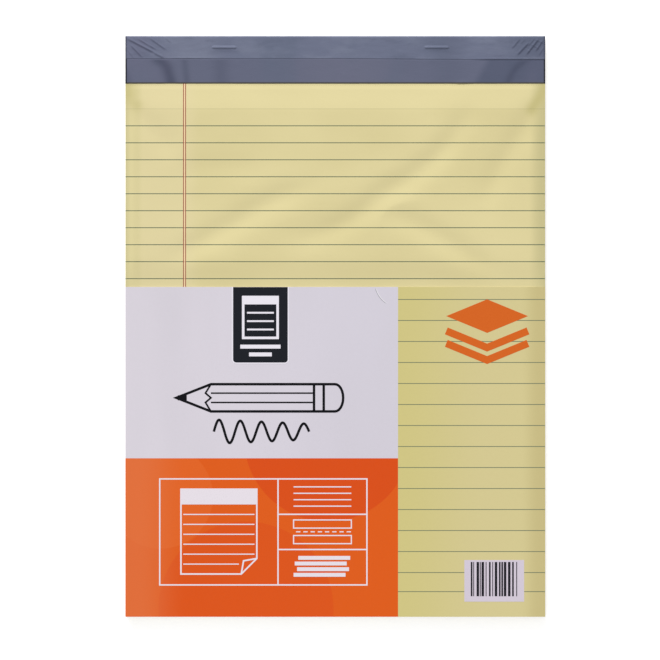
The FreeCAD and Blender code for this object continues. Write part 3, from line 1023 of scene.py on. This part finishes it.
def printed_fields():
    """Three fields of colour parted at two straight lines, on the face only."""
    coat = Finish("printed_card", roughness=0.62, specular=0.12)
    pale, orange, ruled = [field(coat) for field in (pale_field, orange_field, ruled_field)]
    upper = coat.ramp(coat.y, PALE_LOW - PRINT_EDGE, PALE_LOW + PRINT_EDGE)
    right_part = coat.ramp(coat.x, RULED_LEFT - PRINT_EDGE, RULED_LEFT + PRINT_EDGE)
    printed = coat.mix(right_part, coat.mix(upper, orange, pale), ruled)
    printed_side = coat.ramp(coat.z, CARD_Z - 0.08 * MM, CARD_Z - 0.04 * MM)
    coat.colour = coat.mix(printed_side, (206, 200, 190), printed)
    grain = coat.noise(900, detail=3.0)
    coat.tint((120, 110, 100), grain, 0.04)
    coat.bump(grain, 0.01 * MM)
    coat.bump(coat.noise(26, detail=1.0, stretch=(1.0, 0.35, 1.0)), 0.5 * MM)
    coat.paint(card)


def flat_ink(name, colour, deeper, specular, piece):
    """Printed ink: one colour, broken up a little by the card's grain."""
    ink = Finish(name, roughness=0.62, specular=specular)
    grain = ink.noise(2400, detail=4.0)
    ink.colour = ink.mix(ink.ramp(grain, 0.3, 0.8), colour, deeper)
    ink.bump(grain, 0.006 * MM)
    ink.paint(piece)


printed_fields()
flat_ink("tag_ink", (26, 29, 36), (18, 20, 27), 0.1, tag_print)
flat_ink("pen_ink", (12, 12, 18), (4, 4, 8), 0.08, pen_print)
flat_ink("white_ink", (232, 224, 232), (226, 218, 226), 0.15, white_print)
flat_ink("pale_ink", (236, 232, 241), (230, 226, 236), 0.15, pale_print)
flat_ink("orange_ink", (214, 102, 34), (209, 96, 28), 0.12, orange_print)
flat_ink("box_ink", (212, 202, 215), (207, 197, 210), 0.15, box_print)
flat_ink("bar_ink", (34, 32, 40), (24, 22, 30), 0.1, bar_print)

# %% [markdown]
# The back is grey chipboard, pressed from waste paper, so it is full of dark and pale flecks. The staples
# are bright flat wire.


# %% Chipboard and wire
def chipboard():
    """Warm grey board with dark and pale flecks where fine noise peaks."""
    board = Finish("chipboard", roughness=0.9, specular=0.2)
    cloud = board.ramp(board.noise(45, detail=5.0), 0.3, 0.7)
    board.colour = board.mix(cloud, (150, 141, 126), (136, 127, 112))
    flecks = board.noise(900, detail=2.0, stretch=(1.0, 0.4, 1.0))
    board.tint((96, 88, 78), board.ramp(flecks, 0.66, 0.72))
    pale = board.noise(1300, detail=2.0, stretch=(0.4, 1.0, 1.0))
    board.tint((184, 177, 164), board.ramp(pale, 0.68, 0.74))
    board.bump(board.noise(1800, detail=4.0), 0.05 * MM)
    board.paint(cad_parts["backing_board"])


def bright_wire():
    """Zinc-coated steel: metal, with fine draw marks along the wire."""
    wire = Finish("staple_wire", roughness=0.3)
    wire.shader.inputs["Metallic"].default_value = 1.0
    marks = wire.noise(3000, detail=3.0, stretch=(0.05, 1.0, 0.05))
    wire.colour = wire.mix(marks, (200, 200, 204), (176, 177, 182))
    wire.bump(marks, 0.01 * MM)
    wire.paint(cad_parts["staple_left"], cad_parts["staple_right"])


chipboard()
bright_wire()

# %% [markdown]
# ## Floor, light and camera
#
# An even sky and a soft sun, low over the pad's top edge and a little to its left, give every fold a bright
# side and a dark side. They add up to 1, at which a colour renders about as it is written. The camera and
# shiny things see a white floor and a white sky, but the floor still takes the pad's shadow.

# %% Floor
SKY_SHARE = 0.5
SUN_RISE = math.radians(27)
SUN_TURN = math.radians(16)
FLOOR_GLOW = 0.57


def by_ray(tree, plain, seen):
    """Plain for the rays of light, seen for those of the camera, reflections and refractions."""
    path = tree.nodes.new("ShaderNodeLightPath")
    share = path.outputs["Is Camera Ray"]
    for name in ("Is Glossy Ray", "Is Transmission Ray"):
        either = tree.nodes.new("ShaderNodeMath")
        either.operation = "MAXIMUM"
        tree.links.new(share, either.inputs[0])
        tree.links.new(path.outputs[name], either.inputs[1])
        share = either.outputs[0]
    chosen = tree.nodes.new("ShaderNodeMapRange")
    chosen.inputs["To Min"].default_value = plain
    chosen.inputs["To Max"].default_value = seen
    tree.links.new(share, chosen.inputs["Value"])
    return chosen.outputs["Result"]


def white_floor():
    """A large plane just under the pad that glows a little towards the camera."""
    bpy.ops.mesh.primitive_plane_add(size=12.0, location=(0, 0, -0.00002))
    floor = bpy.context.object
    floor.name = "floor"
    white = Finish("white_floor", roughness=1.0, specular=0.0)
    white.colour = screen_colour(244, 244, 244)
    white.shader.inputs["Emission Color"].default_value = (1, 1, 1, 1)
    white.feed(by_ray(white.tree, 0.0, FLOOR_GLOW), white.shader.inputs["Emission Strength"])
    white.paint(floor)


white_floor()


# %% Light
def sky():
    """An even white sky that gives its share of the light."""
    world = bpy.data.worlds.new("sky")
    bpy.context.scene.world = world
    world.use_nodes = True
    tree = world.node_tree
    background = tree.nodes["Background"]
    background.inputs["Color"].default_value = (1, 1, 1, 1)
    tree.links.new(by_ray(tree, SKY_SHARE, 1.0), background.inputs["Strength"])


def soft_sun():
    """A sun with a wide disc: a level white surface sends back strength times sine of the rise over pi."""
    data = bpy.data.lights.new("soft_sun", "SUN")
    data.energy = (1 - SKY_SHARE) * math.pi / math.sin(SUN_RISE)
    data.angle = math.radians(26)
    sun = bpy.data.objects.new("soft_sun", data)
    bpy.context.scene.collection.objects.link(sun)
    sun.location = (0, 0, 1)
    sun.rotation_euler = (SUN_RISE - math.pi / 2, 0, SUN_TURN)
    print(f"sun: strength {data.energy:.2f}")


sky()
soft_sun()

# %% [markdown]
# The camera looks straight down through a long lens, as the page shows no perspective, and it is moved so
# that the pad sits a few pixels off the middle of the picture.

# %% Camera
FRAME_SIDE = 660
PIXELS_PER_METRE = 1945
PAD_MIDDLE = (335.3, 326.4)
CAMERA_HEIGHT = 2.2
SENSOR = 36.0


def overhead_camera():
    """A camera over the pad, whose lens is the sensor times the distance over the seen width."""
    seen_width = FRAME_SIDE / PIXELS_PER_METRE
    data = bpy.data.cameras.new("camera")
    data.sensor_width = SENSOR
    data.lens = SENSOR * (CAMERA_HEIGHT - PAGE_Z) / seen_width
    camera = bpy.data.objects.new("camera", data)
    bpy.context.scene.collection.objects.link(camera)
    aside = (FRAME_SIDE / 2 - PAD_MIDDLE[0]) / PIXELS_PER_METRE
    down = (PAD_MIDDLE[1] - FRAME_SIDE / 2) / PIXELS_PER_METRE
    camera.location = (aside, down, CAMERA_HEIGHT)
    bpy.context.scene.camera = camera
    print(f"camera: lens {data.lens:.0f} mm, {seen_width * 1000:.0f} mm across")


overhead_camera()
bpy.context.scene.view_settings.view_transform = "Standard"
